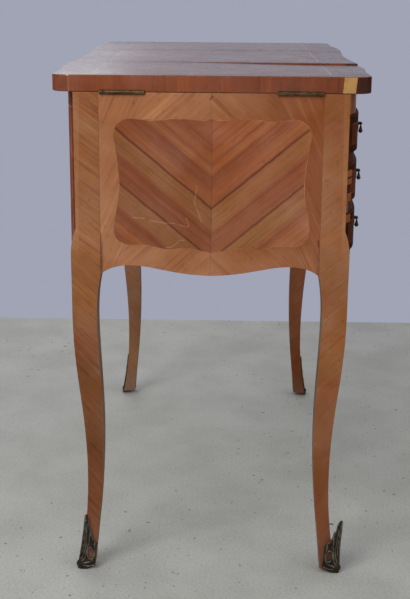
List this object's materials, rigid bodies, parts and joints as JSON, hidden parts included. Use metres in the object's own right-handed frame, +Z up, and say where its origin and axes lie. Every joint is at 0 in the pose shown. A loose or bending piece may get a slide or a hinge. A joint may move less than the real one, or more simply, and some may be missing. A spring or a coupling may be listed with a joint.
{
  "type": "poudreuse dressing table",
  "caption": "Veneered poudreuse dressing table on cabriole legs, with folding flaps, a lifting mirror leaf, a writing slide, bowed drawers and drop pulls.",
  "frame": {"origin": "centre of the footprint, on the floor", "axes": "+X along the front, to the right of someone facing it; +Y from front to back; +Z up"},
  "size_m": [0.7757, 0.4376, 0.72],
  "materials": {
    "leg_veneer": "tulipwood veneer, french polished",
    "panel_veneer": "tulipwood veneer with a book-matched cartouche, french polished",
    "back_veneer": "tulipwood veneer, satin",
    "rail_veneer": "tulipwood cross-banding, french polished",
    "drawer_veneer": "dark rosewood veneer, french polished",
    "top_veneer": "tulipwood veneer, high gloss",
    "slide_veneer": "tulipwood cross-banding round a leather inset",
    "frame_wood": "polished solid wood",
    "oak": "bare aged oak",
    "bronze": "darkened gilt bronze",
    "hinge_brass": "tarnished brass",
    "mirror_glass": "silvered glass",
    "leather": "brown leather with a plain tooled border"
  },
  "bodies": {
    "carcass": {"leg_front_left": "leg_veneer", "leg_back_left": "leg_veneer", "side_panel_left": "panel_veneer", "divider_left": "rail_veneer", "well_front_left": "drawer_veneer", "well_floor_left": "oak", "dustboard_left": "oak", "column_floor_left": "oak", "shoe_front_left": "bronze", "shoe_back_left": "bronze", "leg_front_right": "leg_veneer", "leg_back_right": "leg_veneer", "side_panel_right": "panel_veneer", "divider_right": "rail_veneer", "well_front_right": "drawer_veneer", "well_floor_right": "oak", "dustboard_right": "oak", "column_floor_right": "oak", "shoe_front_right": "bronze", "shoe_back_right": "bronze", "back_panel": "back_veneer", "frieze_rail": "rail_veneer", "slide_rail": "rail_veneer", "kneehole_apron": "rail_veneer", "mirror_well_floor": "oak", "kneehole_board": "oak", "runners": "oak", "hinge_plates": "hinge_brass", "well_rosettes": "bronze"},
    "flap_left": {"flap_left": "top_veneer", "flap_hinge_leaves_left": "hinge_brass"},
    "flap_right": {"flap_right": "top_veneer", "flap_hinge_leaves_right": "hinge_brass"},
    "mirror_leaf": {"mirror_leaf": "top_veneer", "mirror_frame": "frame_wood", "mirror_glass": "mirror_glass", "mirror_hinge_leaves": "hinge_brass"},
    "writing_slide": {"writing_slide": "slide_veneer", "slide_leather": "leather", "slide_knobs": "bronze"},
    "upper_drawer_left": {"upper_drawer_front_left": "drawer_veneer", "upper_drawer_box_left": "oak", "upper_rosette_left": "bronze"},
    "upper_drawer_right": {"upper_drawer_front_right": "drawer_veneer", "upper_drawer_box_right": "oak", "upper_rosette_right": "bronze"},
    "lower_drawer_left": {"lower_drawer_front_left": "drawer_veneer", "lower_drawer_box_left": "oak", "lower_rosette_left": "bronze"},
    "lower_drawer_right": {"lower_drawer_front_right": "drawer_veneer", "lower_drawer_box_right": "oak", "lower_rosette_right": "bronze"},
    "centre_drawer": {"centre_drawer_front": "drawer_veneer", "centre_drawer_box": "oak"},
    "well_drop_left": {"well_drop_left": "bronze"},
    "upper_drop_left": {"upper_drop_left": "bronze"},
    "lower_drop_left": {"lower_drop_left": "bronze"},
    "well_drop_right": {"well_drop_right": "bronze"},
    "upper_drop_right": {"upper_drop_right": "bronze"},
    "lower_drop_right": {"lower_drop_right": "bronze"}
  },
  "joints": [
    {"name": "flap_left_hinge", "type": "hinge", "parent": "carcass", "child": "flap_left", "pos_m": [-0.379, 0, 0.69745], "axis": [0, -1, 0], "range_deg": [0, 180]},
    {"name": "flap_right_hinge", "type": "hinge", "parent": "carcass", "child": "flap_right", "pos_m": [0.379, 0, 0.69745], "axis": [0, 1, 0], "range_deg": [0, 180]},
    {"name": "mirror_hinge", "type": "hinge", "parent": "carcass", "child": "mirror_leaf", "pos_m": [0, 0.2075, 0.69745], "axis": [-1, 0, 0], "range_deg": [0, 100]},
    {"name": "writing_slide_travel", "type": "slide", "parent": "carcass", "child": "writing_slide", "axis": [0, -1, 0], "range_m": [0, 0.23]},
    {"name": "upper_drawer_left_travel", "type": "slide", "parent": "carcass", "child": "upper_drawer_left", "axis": [0, -1, 0], "range_m": [0, 0.24]},
    {"name": "upper_drawer_right_travel", "type": "slide", "parent": "carcass", "child": "upper_drawer_right", "axis": [0, -1, 0], "range_m": [0, 0.24]},
    {"name": "lower_drawer_left_travel", "type": "slide", "parent": "carcass", "child": "lower_drawer_left", "axis": [0, -1, 0], "range_m": [0, 0.24]},
    {"name": "lower_drawer_right_travel", "type": "slide", "parent": "carcass", "child": "lower_drawer_right", "axis": [0, -1, 0], "range_m": [0, 0.24]},
    {"name": "centre_drawer_travel", "type": "slide", "parent": "carcass", "child": "centre_drawer", "axis": [0, -1, 0], "range_m": [0, 0.24]},
    {"name": "well_drop_left_swing", "type": "hinge", "parent": "carcass", "child": "well_drop_left", "pos_m": [-0.246, -0.21344, 0.6435], "axis": [-1, 0, 0], "range_deg": [0, 90]},
    {"name": "upper_drop_left_swing", "type": "hinge", "parent": "upper_drawer_left", "child": "upper_drop_left", "pos_m": [-0.246, -0.21344, 0.5755], "axis": [-1, 0, 0], "range_deg": [0, 90]},
    {"name": "lower_drop_left_swing", "type": "hinge", "parent": "lower_drawer_left", "child": "lower_drop_left", "pos_m": [-0.246, -0.21344, 0.5055], "axis": [-1, 0, 0], "range_deg": [0, 90]},
    {"name": "well_drop_right_swing", "type": "hinge", "parent": "carcass", "child": "well_drop_right", "pos_m": [0.246, -0.21344, 0.6435], "axis": [-1, 0, 0], "range_deg": [0, 90]},
    {"name": "upper_drop_right_swing", "type": "hinge", "parent": "upper_drawer_right", "child": "upper_drop_right", "pos_m": [0.246, -0.21344, 0.5755], "axis": [-1, 0, 0], "range_deg": [0, 90]},
    {"name": "lower_drop_right_swing", "type": "hinge", "parent": "lower_drawer_right", "child": "lower_drop_right", "pos_m": [0.246, -0.21344, 0.5055], "axis": [-1, 0, 0], "range_deg": [0, 90]}
  ]
}
